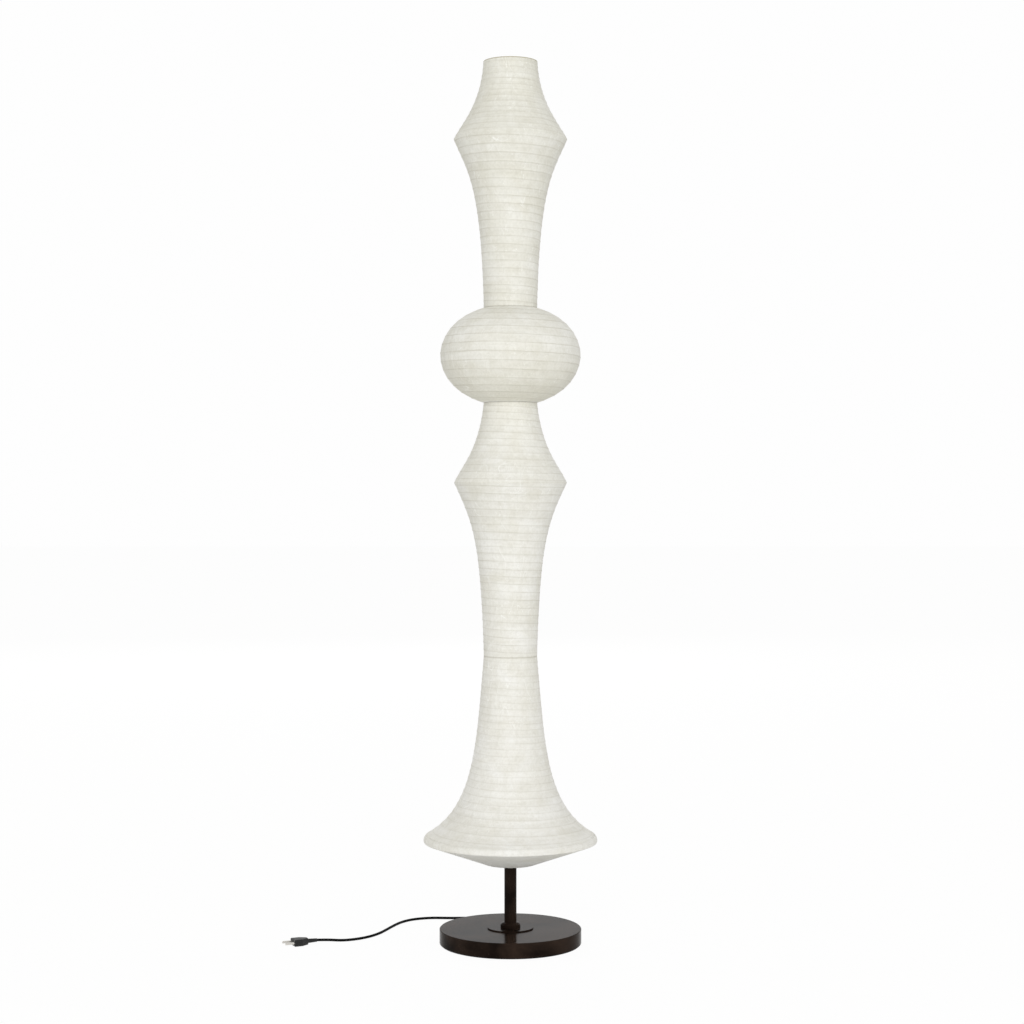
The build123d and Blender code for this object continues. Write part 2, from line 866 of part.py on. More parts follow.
def cord_tube(name, points):
    """Round cord along a hand-laid route."""
    if len(points) > 2:
        radii = corner_radii(points)
        path = FilletPolyline(*points, radius=radii)
        print(name, "length", round(path.length, 1), "least radius", round(min(radii), 1))
        print(name, "radii", [round(r) for r in radii])
    else:
        path = Line(*points)
        print(name, "length", round(path.length, 1))
    solid = sweep(Plane(path @ 0, z_dir=path % 0) * Circle(cord_dia / 2), path)
    section = pi * cord_dia ** 2 / 4
    print(name, "volume over section times length", round(solid.volume / (section * path.length), 5))
    save(solid, name)
    return path.length


coil_outer = coil_radius + cord_dia / 2 + coil_ease
coil_inner = coil_radius - (coil_turns - 1) * cord_dia - cord_dia / 2 - coil_ease
coil_height = cord_dia + (coil_layers - 1) * layer_rise + coil_ease


def at_coil(shape):
    """Place a shape at the middle of the coil."""
    return Pos(coil_centre[0], coil_centre[1], 0) * shape


def cord_coil():
    """Outer shape of the coiled length, with a shallow seat for the tie."""
    body = tube(coil_outer, coil_inner, 0, coil_height)
    body = fillet(body.edges().filter_by(GeomType.CIRCLE), cord_dia / 2 - coil_shoulder)
    seat = Box(
        2 * coil_outer, tie_width + 2 * lay_gap, tie_thickness + lay_gap,
        align=(Align.MIN, Align.CENTER, Align.MIN),
    )
    return at_coil(body - seat)


def coil_tie():
    """Flat strap round the bundle of turns, on the coil's +X side."""
    near = sqrt(coil_inner ** 2 - (tie_width / 2) ** 2) - lay_gap
    far = coil_outer + lay_gap
    place = Pos((near + far) / 2, 0, 0)
    whole = Box(
        far - near + 2 * tie_thickness, tie_width, coil_height + lay_gap + tie_thickness,
        align=(Align.CENTER, Align.CENTER, Align.MIN),
    )
    hole = Box(
        far - near, 2 * tie_width, coil_height + lay_gap - tie_thickness,
        align=(Align.CENTER, Align.CENTER, Align.MIN),
    )
    return at_coil(place * (whole - Pos(0, 0, tie_thickness) * hole))


switch_reach = lay_gap + switch_length / 2
switch_middle = (
    feed_points[-1][0] + cos(radians(switch_heading)) * switch_reach,
    feed_points[-1][1] + sin(radians(switch_heading)) * switch_reach,
)


def at_switch(shape):
    """Place a shape drawn along X about the middle of the switch."""
    return Pos(switch_middle[0], switch_middle[1], 0) * Rot(0, 0, switch_heading) * shape


def switch_body():
    """In-line switch housing with a pocket for the rocker."""
    body = Box(switch_length, switch_width, switch_height, align=(Align.CENTER, Align.CENTER, Align.MIN))
    body = fillet(body.edges().filter_by(Axis.Z), switch_end_round)
    body = fillet(body.edges().group_by(Axis.Z)[-1], switch_top_round)
    pocket = Pos(0, 0, switch_height - switch_pocket_depth) * Box(
        rocker_length + 2 * rocker_end_room, rocker_width + 2 * rocker_side_room, switch_height,
        align=(Align.CENTER, Align.CENTER, Align.MIN),
    )
    pin = cross_rod(rocker_pin_dia / 2 + fit_gap, rocker_width + 2 * (rocker_pin_reach + rocker_pin_room))
    return at_switch(body - pocket - Pos(0, 0, rocker_pivot_height) * pin)


def cross_rod(radius, length):
    """Round bar along Y, about the origin."""
    return Rot(90, 0, 0) * Cylinder(radius, length)


def switch_rocker():
    """Rocker on two stub pins, resting with one end pressed in."""
    reach = rocker_length / 2
    foot = rocker_foot_length / 2
    side = Polyline(
        (-reach, 0, rocker_rise), (0, 0, rocker_dip), (reach, 0, rocker_rise), (reach, 0, -rocker_edge),
        (foot, 0, -rocker_foot), (-foot, 0, -rocker_foot), (-reach, 0, -rocker_edge),
        close=True,
    )
    block = extrude(make_face(side), rocker_width / 2, dir=(0, 1, 0), both=True)
    pin = cross_rod(rocker_pin_dia / 2, rocker_width + 2 * rocker_pin_reach)
    return at_switch(Pos(0, 0, rocker_pivot_height) * Rot(0, rocker_tilt, 0) * (block + pin))


def at_plug(shape):
    """Place a shape drawn along +X from just past the cord's end."""
    end = run_points[-1]
    return Pos(*end) * Rot(0, 0, plug_heading) * Pos(run_gap, 0, 0) * shape


def plug_body():
    """Flat two pin plug, lying on its side, with a tapered tail."""
    narrow = plug_neck_dia / 2
    wide = plug_width / 2
    shoulder = plug_tail + plug_flare
    front = plug_tail + plug_length
    plan = Polyline(
        (plug_tail, -narrow), (shoulder, -wide), (front, -wide),
        (front, wide), (shoulder, wide), (plug_tail, narrow),
        close=True,
    )
    body = Pos(0, 0, -plug_thickness / 2) * extrude(make_face(plan), plug_thickness)
    levels = body.edges().group_by(Axis.Z)
    body = fillet(levels[-1] + levels[0], plug_round)
    tail = Rot(0, 90, 0) * Cone(
        cord_dia / 2 + plug_tail_wall, narrow, plug_tail + over,
        align=(Align.CENTER, Align.CENTER, Align.MIN),
    )
    return at_plug(body + tail)


def plug_pins():
    """Two round contact pins."""
    pins = []
    for side in (-1, 1):
        pin = level_rod(pin_dia / 2, pin_length)
        pin = fillet(pin.edges().filter_by(GeomType.CIRCLE).sort_by(Axis.X)[-1], pin_round)
        pins.append(at_plug(Pos(plug_tail + plug_length, side * pin_spacing / 2, 0) * pin))
    return group(pins)


# Write every sub-part

os.makedirs("parts", exist_ok=True)

save(rod(base_radius - pad_inset, 0, pad_height), "base_pad")
save(ballast_disc(), "ballast_disc")
save(base_cover(), "base_cover")
save(tube(washer_dia / 2, stud_dia / 2 + 2 * fit_gap, washer_low, recess_top), "base_washer")
nut_bore = rod(stud_dia / 2 + fit_gap, nut_low - over, washer_low + over)
save(hexagon(nut_across_flats, nut_low, washer_low) - nut_bore, "base_nut")
save(foot_stud(), "foot_stud")
save(tube(flange_dia / 2, stud_dia / 2 + 2 * fit_gap, base_height, flange_top), "flange_disc")
save(pole_collar(), "pole_collar")
save(terminal_block(), "terminal_block")
save(cord_gland(), "cord_gland")

pole_top = bell_spider_z - hub_height / 2 - shoulder_height
lower_stem_low = bell_spider_z + hub_height / 2
lower_stem_high = lower_spider_z - hub_height / 2 - shoulder_height
upper_stem_low = lower_spider_z + hub_height / 2
pole = tube(pole_radius, pole_radius - pole_wall, flange_top, pole_top)
lower_stem = tube(stem_radius, stem_radius - stem_wall, lower_stem_low, lower_stem_high)
upper_stem = tube(stem_radius, stem_radius - stem_wall, upper_stem_low, stem_top)
save(pole - lead_hole(pole_radius, bell_plate - branch_drop), "lower_pole")
save(pole_reducer(), "pole_reducer")
save(lower_stem - lead_hole(stem_radius, lower_plate - branch_drop), "lower_stem")
save(stem_coupler(), "stem_coupler")
for level in (globe_plate, upper_plate):
    upper_stem = upper_stem - lead_hole(stem_radius, level - branch_drop)
save(upper_stem, "upper_stem")
save(top_insert(), "top_insert")
save(finial_nut(), "finial_nut")

upper_hoops = ribs(upper_top, upper_top_pitch) + ribs(upper_low, upper_low_pitch)
globe_hoops = ribs(globe_high, globe_pitch) + ribs(globe_low, globe_pitch)
lower_hoops = ribs(lower_high, lower_top_pitch) + ribs(lower_low, lower_low_pitch)
shades = [
    ("upper", upper_top, upper_low, upper_ring, upper_hoops),
    ("globe", globe_high, globe_low, globe_ring, globe_hoops),
    ("lower", lower_high, lower_low, lower_ring, lower_hoops),
    ("bell", bell_high, bell_under, bell_ring, ribs(bell_high, bell_pitch)),
]
for name, top, bottom, wide_ring, hoops in shades:
    save(bell_cover() if name == "bell" else silk_cover(top, bottom), f"{name}_silk")
    save(group(frame_pieces(top, bottom, wide_ring)), f"{name}_frame")
    save(group(hoops), f"{name}_ribs")

sleeve_high = globe_spider_z + arm_thickness / 2
sleeve_low = sleeve_high - sleeve_height
sleeve_screw = sleeve_low + (sleeve_height - arm_thickness) / 2
guide_low = foot_ring_z - arm_thickness / 2
guide_high = foot_ring_z + sleeve_height
guide_screw = foot_ring_z + (sleeve_height + arm_thickness) / 2
guide_radius = pole_radius + clamp_wall
globe_sleeve = sleeve_spider(globe_high, stem_radius, sleeve_dia / 2, sleeve_low, sleeve_high, sleeve_screw)
save(drop_spider(), "upper_spider")
save(globe_sleeve, "globe_spider")
save(clamped_spider(lower_high), "lower_spider")
save(clamped_spider(bell_high), "bell_spider")
save(sleeve_spider(bell_under, pole_radius, guide_radius, guide_low, guide_high, guide_screw), "bell_guide")

screws = [
    set_screw(sleeve_screw, stem_radius, sleeve_dia / 2),
    set_screw(guide_screw, pole_radius, guide_radius),
]
nuts = []
flex = [riser()]
for name, plate, shaft, offset in lamps:
    save(bracket(plate, shaft, offset), f"{name}_bracket")
    save(holder(plate, offset), f"{name}_holder")
    save(bulb(plate, offset), f"{name}_bulb")
    nuts.append(holder_nut(plate, offset))
    flex.append(branch(plate, offset))
    screws.append(set_screw(plate + clamp_height / 2, shaft, shaft + clamp_wall))
save(group(screws), "set_screws")
save(group(nuts), "holder_nuts")
save(group(flex), "inner_flex")

laid = cord_tube("cord_feed", feed_points)
laid += cord_tube("cord_link", link_points)
laid += cord_tube("cord_run", run_points)
mean_radius = coil_radius - (coil_turns - 1) * cord_dia / 2
coiled = 2 * pi * mean_radius * (coil_turns * coil_layers + coil_exit_turn / 360)
print("whole cord, with the coil and the stretch through the switch", round(laid + coiled + switch_length, 1))
save(cord_coil(), "cord_coil")
save(coil_tie(), "coil_tie")
save(switch_body(), "switch_body")
save(switch_rocker(), "switch_rocker")
save(plug_body(), "plug_body")
save(plug_pins(), "plug_pins")
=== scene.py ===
"""Floor lamp: silk covered shades wound on spiral ribs, stacked over a dark bronze pole and base.

Metres, +Z up, with the origin under the middle of the base. The cord leaves behind, towards +Y.
"""
import math

import bmesh
import bpy
import numpy as np
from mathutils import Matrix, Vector, noise


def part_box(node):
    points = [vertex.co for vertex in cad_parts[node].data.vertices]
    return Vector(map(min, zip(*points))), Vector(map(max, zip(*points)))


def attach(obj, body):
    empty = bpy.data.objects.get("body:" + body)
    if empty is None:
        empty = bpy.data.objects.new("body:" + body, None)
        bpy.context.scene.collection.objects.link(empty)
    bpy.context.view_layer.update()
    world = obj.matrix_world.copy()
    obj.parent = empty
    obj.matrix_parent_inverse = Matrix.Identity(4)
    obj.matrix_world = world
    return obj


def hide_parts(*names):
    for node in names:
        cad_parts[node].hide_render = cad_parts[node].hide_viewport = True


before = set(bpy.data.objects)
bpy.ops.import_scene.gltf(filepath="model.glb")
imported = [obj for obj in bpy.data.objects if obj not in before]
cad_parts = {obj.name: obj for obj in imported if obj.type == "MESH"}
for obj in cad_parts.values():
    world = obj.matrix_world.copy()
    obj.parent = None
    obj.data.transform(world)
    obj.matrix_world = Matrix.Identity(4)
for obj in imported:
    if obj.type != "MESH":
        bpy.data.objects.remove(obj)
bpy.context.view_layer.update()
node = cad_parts


# Base: a spun steel cover over an iron weight, with a thin disc and a turned collar at the foot
# of the pole. What shows has one dark brown bronze lacquer, satin smooth and a little cloudy.
bronze_dark = (0.0085, 0.0054, 0.0041, 1)
bronze_light = (0.0330, 0.0212, 0.0156, 1)
bronze_index = 1.088
iron_dark = (0.035, 0.034, 0.033, 1)
iron_light = (0.070, 0.068, 0.066, 1)
rubber_dark = (0.009, 0.009, 0.009, 1)
rubber_light = (0.016, 0.016, 0.015, 1)
zinc_dark = (0.42, 0.42, 0.41, 1)
zinc_light = (0.56, 0.56, 0.55, 1)
shinier = 0.06
duller = 0.08


def start_finish(name, roughness, metallic=0.0, index=1.45):
    """A new finish: its material, its node tree and its main shader."""
    finish = bpy.data.materials.new(name)
    finish.use_nodes = True
    shader = finish.node_tree.nodes["Principled BSDF"]
    shader.inputs["Roughness"].default_value = roughness
    shader.inputs["Metallic"].default_value = metallic
    shader.inputs["IOR"].default_value = index
    return finish, finish.node_tree, shader


def grain(tree, scale, detail=4.0, stretch=(1, 1, 1), distortion=0.0):
    """Noise that stays on the piece: scale is in features per metre."""
    place = tree.nodes.new("ShaderNodeTexCoord")
    stretched = tree.nodes.new("ShaderNodeMapping")
    stretched.inputs["Scale"].default_value = stretch
    cloud = tree.nodes.new("ShaderNodeTexNoise")
    cloud.inputs["Scale"].default_value = scale
    cloud.inputs["Detail"].default_value = detail
    cloud.inputs["Distortion"].default_value = distortion
    tree.links.new(place.outputs["Object"], stretched.inputs["Vector"])
    tree.links.new(stretched.outputs["Vector"], cloud.inputs["Vector"])
    return cloud.outputs["Fac"]


def between(tree, amount, low, high, start=0.3, end=0.7):
    """A colour that runs from low to high as amount goes from start to end."""
    ramp = tree.nodes.new("ShaderNodeValToRGB")
    ramp.color_ramp.elements[0].position = start
    ramp.color_ramp.elements[0].color = low
    ramp.color_ramp.elements[1].position = end
    ramp.color_ramp.elements[1].color = high
    tree.links.new(amount, ramp.inputs["Fac"])
    return ramp.outputs["Color"]


def spread(tree, amount, low, high, start=0.3, end=0.7):
    """A plain value that runs from low to high as amount goes from start to end."""
    mapped = tree.nodes.new("ShaderNodeMapRange")
    for name, value in zip(("From Min", "From Max", "To Min", "To Max"), (start, end, low, high)):
        mapped.inputs[name].default_value = value
    tree.links.new(amount, mapped.inputs["Value"])
    return mapped.outputs["Result"]


def relief(tree, shader, height, depth, strength=1.0, under=None):
    """Fine relief from a height: depth is in metres, and under is a relief that it is laid over."""
    bump = tree.nodes.new("ShaderNodeBump")
    bump.inputs["Strength"].default_value = strength
    bump.inputs["Distance"].default_value = depth
    tree.links.new(height, bump.inputs["Height"])
    if under:
        tree.links.new(under, bump.inputs["Normal"])
    tree.links.new(bump.outputs["Normal"], shader.inputs["Normal"])
    return bump.outputs["Normal"]


def dress(finish, *names):
    """Give frame nodes their finish."""
    for name in names:
        for place in node[name].material_slots:
            place.material = finish


def bronze_finish():
    """Dark brown bronze lacquer: cloudy patina, faint brushing and a very slight swell."""
    finish, tree, shader = start_finish("bronze_lacquer", roughness=0.17, index=bronze_index)
    patina = grain(tree, scale=14, detail=6, distortion=0.6)
    colour = between(tree, patina, bronze_dark, bronze_light, start=0.34, end=0.66)
    tree.links.new(colour, shader.inputs["Base Color"])
    brushed = grain(tree, scale=240, detail=3, stretch=(1, 1, 0.06))
    tree.links.new(spread(tree, brushed, low=0.14, high=0.20), shader.inputs["Roughness"])
    swell = relief(tree, shader, grain(tree, scale=9, detail=1), depth=0.0006)
    relief(tree, shader, brushed, depth=0.000006, under=swell)
    return finish


def cast_iron_finish():
    """Raw cast iron with a sandy skin."""
    finish, tree, shader = start_finish("cast_iron", roughness=0.72, metallic=0.6)
    sand = grain(tree, scale=420, detail=5)
    tree.links.new(between(tree, grain(tree, scale=30), iron_dark, iron_light), shader.inputs["Base Color"])
    relief(tree, shader, sand, depth=0.0004)
    return finish


def rubber_finish(name, dark, light, roughness=0.62, index=1.45, depth=0.00006):
    """Moulded rubber or plastic with a fine, even grain."""
    finish, tree, shader = start_finish(name, roughness, index=index)
    cloud = grain(tree, scale=60, detail=5)
    tree.links.new(between(tree, cloud, dark, light), shader.inputs["Base Color"])
    pebble = grain(tree, scale=1900, detail=2)
    rough = spread(tree, pebble, roughness - shinier, roughness + duller)
    tree.links.new(rough, shader.inputs["Roughness"])
    relief(tree, shader, pebble, depth)
    return finish


def steel_finish(name, dark, light, roughness):
    """Bright metal with fine drawing marks and a slight haze."""
    finish, tree, shader = start_finish(name, roughness, metallic=1.0)
    haze = grain(tree, scale=35, detail=5)
    tree.links.new(between(tree, haze, dark, light), shader.inputs["Base Color"])
    drawn = grain(tree, scale=900, detail=2, stretch=(1, 1, 0.05))
    rough = spread(tree, drawn, roughness - shinier, roughness + duller)
    tree.links.new(rough, shader.inputs["Roughness"])
    relief(tree, shader, drawn, depth=0.00002)
    return finish


bronze = bronze_finish()
black_rubber = rubber_finish("black_rubber", rubber_dark, rubber_light)
zinc_steel = steel_finish("zinc_steel", zinc_dark, zinc_light, roughness=0.34)
dress(bronze, "base_cover", "flange_disc", "pole_collar")
dress(cast_iron_finish(), "ballast_disc")
dress(black_rubber, "base_pad")
dress(zinc_steel, "base_washer", "base_nut", "foot_stud")


# Column: the wide tube that shows under the bell has the base's lacquer. The thinner stems and
# the turned joints inside the shades are plain plated steel, with a brass nut on the very top.
brass_dark = (0.52, 0.36, 0.15, 1)
brass_light = (0.66, 0.47, 0.22, 1)
dress(bronze, "lower_pole", "pole_reducer")
dress(zinc_steel, "lower_stem", "upper_stem", "stem_coupler", "top_insert", "set_screws", "holder_nuts")
dress(steel_finish("turned_brass", brass_dark, brass_light, roughness=0.26), "finial_nut")


# Inner flex and its connector block: silicone sleeved leads run up inside the column and branch
# to each lampholder, from a white moulded block that joins them to the cord in the base.
sleeve_dark = (0.60, 0.59, 0.56, 1)
sleeve_light = (0.70, 0.69, 0.66, 1)
block_dark = (0.66, 0.66, 0.63, 1)
block_light = (0.74, 0.74, 0.71, 1)
dress(rubber_finish("flex_sleeve", sleeve_dark, sleeve_light, roughness=0.5), "inner_flex")
dress(rubber_finish("white_connector", block_dark, block_light, roughness=0.42), "terminal_block")


# Lamps: pressed steel brackets clamped on the column, white moulded lampholders, and candle
# bulbs with opal glass on a plated screw cap. The bulbs are drawn here, with their threads.
cap_radius = 0.0070
cap_length = 0.0200
thread_count = 6
thread_depth = 0.0007
thread_points = 8
contact_radius = 0.0030
contact_rise = 0.0016
seat_radius = 0.0120
belly_height = 0.0259
belly_points = 12
taper_points = 20
taper_power = 0.85
taper_share = 0.98
tip_radius = 0.0028
tip_round = 0.6
tip_flat = 0.005
turned_steps = 48
on_axis = 0.000001
opal_dark = (0.84, 0.83, 0.80, 1)
opal_light = (0.90, 0.89, 0.86, 1)
nickel_dark = (0.48, 0.47, 0.45, 1)
nickel_light = (0.60, 0.59, 0.57, 1)
moulding_dark = (0.70, 0.69, 0.65, 1)
moulding_light = (0.78, 0.77, 0.74, 1)


def placed(name, data):
    """A new object in the scene, at the origin."""
    thing = bpy.data.objects.new(name, data)
    bpy.context.scene.collection.objects.link(thing)
    return thing


def as_piece(name, shape, smooth=True):
    """A piece from a finished shape, with its faces turned outwards."""
    bmesh.ops.recalc_face_normals(shape, faces=shape.faces)
    mesh = bpy.data.meshes.new(name)
    shape.to_mesh(mesh)
    shape.free()
    if smooth:
        mesh.shade_smooth()
    return placed(name, mesh)


def turned_piece(name, outline, x, y):
    """A piece turned about an upright axis from (radius, height) points, closed where they meet it."""
    shape = bmesh.new()
    turns = [2 * math.pi * i / turned_steps for i in range(turned_steps)]
    rings = []
    for radius, height in outline:
        if radius < on_axis:
            rings.append([shape.verts.new((x, y, height))])
            continue
        ring = [(x + radius * math.cos(turn), y + radius * math.sin(turn), height) for turn in turns]
        rings.append([shape.verts.new(corner) for corner in ring])
    for low, high in zip(rings, rings[1:]):
        for i in range(turned_steps):
            j = (i + 1) % turned_steps
            corners = [low[i % len(low)], low[j % len(low)], high[j % len(high)], high[i % len(high)]]
            shape.faces.new(list(dict.fromkeys(corners)))
    return as_piece(name, shape)


def cap_outline(foot, top):
    """Screw cap: a contact button, a waisted foot and rolled threads."""
    groove = cap_radius - thread_depth
    first = foot + 2 * contact_rise
    last = top - contact_rise
    outline = [(0, foot), (contact_radius, foot), (contact_radius, foot + contact_rise)]
    steps = thread_points * thread_count
    for i in range(steps + 1):
        share = i / steps
        crest = (1 - math.cos(2 * math.pi * share * thread_count)) / 2
        outline.append((groove + thread_depth * crest, first + share * (last - first)))
    return outline + [(cap_radius, top - contact_rise / 2), (cap_radius, top), (0, top)]


def glass_outline(seat, top, radius):
    """Candle envelope: swells from its seat and draws in to a small rounded tip."""
    belly = seat + belly_height
    taper = top - belly
    outline = [(0, seat), (seat_radius, seat)]
    for i in range(1, belly_points + 1):
        share = i / belly_points
        swell = math.sin(share * math.pi / 2)
        outline.append((seat_radius + (radius - seat_radius) * swell, seat + share * belly_height))
    for i in range(1, taper_points + 1):
        share = i / taper_points
        drawn_in = math.cos(share * math.pi / 2) ** taper_power
        outline.append((tip_radius + (radius - tip_radius) * drawn_in, belly + share * taper * taper_share))
    return outline + [(tip_radius * tip_round, top - taper * tip_flat), (0, top)]


def opal_glass_finish():
    """Opal glass: milky white and glossy, with barely a cloud in it."""
    finish, tree, shader = start_finish("opal_glass", roughness=0.12, index=1.5)
    milk = grain(tree, scale=40, detail=3)
    tree.links.new(between(tree, milk, opal_dark, opal_light), shader.inputs["Base Color"])
    relief(tree, shader, milk, depth=0.0001)
    return finish


opal_glass = opal_glass_finish()
cap_metal = steel_finish("cap_nickel", nickel_dark, nickel_light, roughness=0.25)
white_moulding = rubber_finish("white_moulding", moulding_dark, moulding_light, roughness=0.38)
for lamp in ("upper", "globe", "lower", "bell"):
    dress(zinc_steel, f"{lamp}_bracket")
    dress(white_moulding, f"{lamp}_holder")
    low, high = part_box(f"{lamp}_bulb")
    axis = ((low.x + high.x) / 2, (low.y + high.y) / 2)
    seat = low.z + cap_length
    glass = turned_piece(f"{lamp}_bulb_glass", glass_outline(seat, high.z, (high.x - low.x) / 2), *axis)
    cap = turned_piece(f"{lamp}_bulb_cap", cap_outline(low.z, seat), *axis)
    glass.data.materials.append(opal_glass)
    cap.data.materials.append(cap_metal)
    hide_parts(f"{lamp}_bulb")
    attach(glass, f"{lamp}_bulb_body")
    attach(cap, f"{lamp}_bulb_body")


# Shade frames: wire rings, the stays between them and the spiders that carry them on the column,
# all welded and painted white.
paint_dark = (0.62, 0.61, 0.57, 1)
paint_light = (0.72, 0.71, 0.67, 1)
painted_wire = rubber_finish("painted_wire", paint_dark, paint_light, roughness=0.4)
shades = ("upper", "globe", "lower", "bell")
dress(painted_wire, *[f"{shade}_frame" for shade in shades])
dress(painted_wire, *[f"{shade}_spider" for shade in shades], "bell_guide")


# Shade outlines: the silk is pulled tight over its frame's rings and ribs. A shade's side is two
# halves that meet at its widest edge, or one above the bell's rim. A half leaves that edge and its
# neck on slopes of their own: lean is run per rise, and reach how far the slope holds its pull.
neck_radius = 0.0545
mouth_radius = 0.0552
foot_radius = 0.0520
upper_waist_drop = 0.1583
lower_waist_drop = 0.1633
bell_shoulder = 0.0560
bell_lean = 1.79
outline_points = 400


def half(wide, neck, lean, reach, neck_lean, neck_reach):
    """(radius, height) points along one half of an outline, from its upper end down."""
    way = 1 if neck[1] > wide[1] else -1
    wide_pull = (wide[0] - lean * reach, wide[1] + way * reach)
    neck_pull = (neck[0] + neck_lean * neck_reach, neck[1] - way * neck_reach)
    along = np.linspace(0, 1, outline_points)[:, None]
    left = 1 - along
    ends = left ** 3 * np.array(wide) + along ** 3 * np.array(neck)
    pulls = 3 * along * left ** 2 * np.array(wide_pull) + 3 * along ** 2 * left * np.array(neck_pull)
    line = ends + pulls
    return line[::-1] if way > 0 else line


def bounds_of(shade):
    """Widest radius, foot and top of a shade's silk."""
    low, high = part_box(f"{shade}_silk")
    return high.x, low.z, high.z


upper_wide, upper_foot, upper_head = bounds_of("upper")
globe_wide, globe_foot, globe_head = bounds_of("globe")
lower_wide, lower_foot, lower_head = bounds_of("lower")
bell_wide, bell_foot, bell_head = bounds_of("bell")
upper_waist = (upper_wide, upper_head - upper_waist_drop)
globe_waist = (globe_wide, (globe_foot + globe_head) / 2)
lower_waist = (lower_wide, lower_head - lower_waist_drop)
bell_rim = (bell_wide, bell_foot + bell_shoulder)
upper_high = half(
    upper_waist, (mouth_radius, upper_head),
    lean=0.42, reach=0.024, neck_lean=0.05, neck_reach=0.089,
)
upper_low = half(
    upper_waist, (neck_radius, upper_foot),
    lean=0.43, reach=0.066, neck_lean=0.023, neck_reach=0.250,
)
globe_high = half(
    globe_waist, (neck_radius, globe_head),
    lean=0.0, reach=0.030, neck_lean=3.5, neck_reach=0.0196,
)
globe_low = half(
    globe_waist, (neck_radius, globe_foot),
    lean=0.0, reach=0.030, neck_lean=3.5, neck_reach=0.0196,
)
lower_high = half(
    lower_waist, (neck_radius, lower_head),
    lean=0.40, reach=0.034, neck_lean=0.109, neck_reach=0.100,
)
lower_low = half(
    lower_waist, (neck_radius, lower_foot),
    lean=0.47, reach=0.085, neck_lean=0.03, neck_reach=0.234,
)
bell_flare = half(
    bell_rim, (neck_radius, bell_head),
    lean=bell_lean, reach=0.0582, neck_lean=0.087, neck_reach=0.1916,
)


# Silk: each cover is pulled over long ribs that wind down the shade from ring to ring, and is
# glued and sized on them, so that it dips a little between the turns and shows them as lines.
columns = 180
turn_shares = (0.0, 0.1, 0.3, 0.5, 0.7, 0.9)
silk_thickness = 0.0005
dip = 0.00035
ridge = 0.00028
crease_depth = 0.00030
crease_scale = (60, 22)
waver = 0.0018
waver_scale = (11, 8)
shiver = 0.0007
shiver_scale = (45, 30)
uneven = 0.0013
slope_step = 0.001
line_fade = 4
glue_and_shade_fade = 0.7
weld = 0.00002
hem_round = 0.0005
hem_depth = 0.0018
hem_proud = 0.00015
hem_steps = 4
# Brown stain on the turned edges, from 0 to 1: partly a real hem stain, partly painted shade of the mouth's
# edge and of the gaps at the seams.
mouth_stain_and_shade = 0.95
seam_stain_and_shade = 0.26
globe_seam_stain_and_shade = 0.06


def unevenness(at, height, scale):
    """Noise from -1 to 1 at a place: scale is in features per metre, level and upright."""
    level, upright = scale
    return noise.noise(Vector((at.x * level, at.y * level, height * upright)))


class Band:
    """A stretch of silk between two level rings, with the rib winding down it.

    Show is how strongly the rib's line shows, and bulge how much closer its turns lie at the ends.
    The glue-and-shade tint reaches so far from the top and from the foot, at a strength: real glue soaking
    the silk by the rings, and painted shade over the globe's lower half.
    """

    def __init__(self, outline, top, foot, turns, seed, show, glue, bulge=0.0):
        self.outline = outline
        self.top = top
        self.foot = foot
        self.turns = turns
        self.show = show
        self.glue_top, self.glue_foot, self.glue_and_shade_strength = glue
        self.bulge = bulge
        self.drift = np.random.default_rng(seed).uniform(-uneven, uneven, turns + 2)
        self.drift[0] = self.drift[turns:] = 0

    def height(self, turn):
        """Height of the rib after so many turns, wound by hand and so never quite even."""
        turn = min(max(turn, 0.0), self.turns)
        share = turn / self.turns
        eased = (1 - math.cos(math.pi * share)) / 2
        whole = int(turn)
        part = turn - whole
        drift = self.drift[whole] * (1 - part) + self.drift[whole + 1] * part
        return self.top + (self.foot - self.top) * (share + self.bulge * (eased - share)) + drift

    def radius(self, height):
        """Radius of the outline at a height."""
        return float(np.interp(-height, -self.outline[:, 1], self.outline[:, 0]))

    def inside(self, turn):
        """How far a turn is from the rings, from 0 at a ring to 1 a whole turn away."""
        return min(1.0, max(0.0, turn), max(0.0, self.turns - turn))

    def point(self, turn, around, lift=0.0, along=0.0):
        """Point so many turns down and so far around, off the silk by a lift and a shift along it."""
        height = self.height(turn)
        radius = self.radius(height)
        run = (self.radius(height + slope_step) - self.radius(height - slope_step)) / (2 * slope_step)
        out, up = 1 / math.hypot(1, run), -run / math.hypot(1, run)
        angle = math.pi / 2 + 2 * math.pi * around
        way = Vector((math.cos(angle), math.sin(angle), 0))
        at = way * radius
        slow = unevenness(at, height, waver_scale)
        quick = unevenness(at, height, shiver_scale)
        sway = (waver * slow + shiver * quick) * self.inside(turn) * out
        rise = sway + along
        return way * (radius + out * lift - up * rise) + Vector((0, 0, height + up * lift + out * rise))


def wound_rows(band):
    """Rows of (point, marks) that follow the winding; each row is one turn long."""
    rows = []
    steps = [whole + share for whole in range(band.turns + 1) for share in turn_shares]
    for step in steps + [band.turns + 1.0]:
        row = []
        part = step % 1
        on_rib = max(0.0, 1 - min(part, 1 - part) / turn_shares[1])
        for column in range(columns):
            around = column / columns
            turn = step + around - 1
            inside = band.inside(turn)
            at = band.point(turn, around)
            slack = 4 * part * (1 - part) * inside
            crease = unevenness(at, at.z, crease_scale)
            lift = (crease_depth * crease - dip) * slack + ridge * on_rib * inside
            shown = band.show * on_rib * min(1.0, line_fade * inside)
            near_top = 1 - (band.top - at.z) / band.glue_top
            near_foot = 1 - (at.z - band.foot) / band.glue_foot
            glue = band.glue_and_shade_strength * max(0.0, near_top, near_foot) ** glue_and_shade_fade
            row.append((band.point(turn, around, lift), (shown, 0.0, glue)))
        rows.append(row)
    return rows


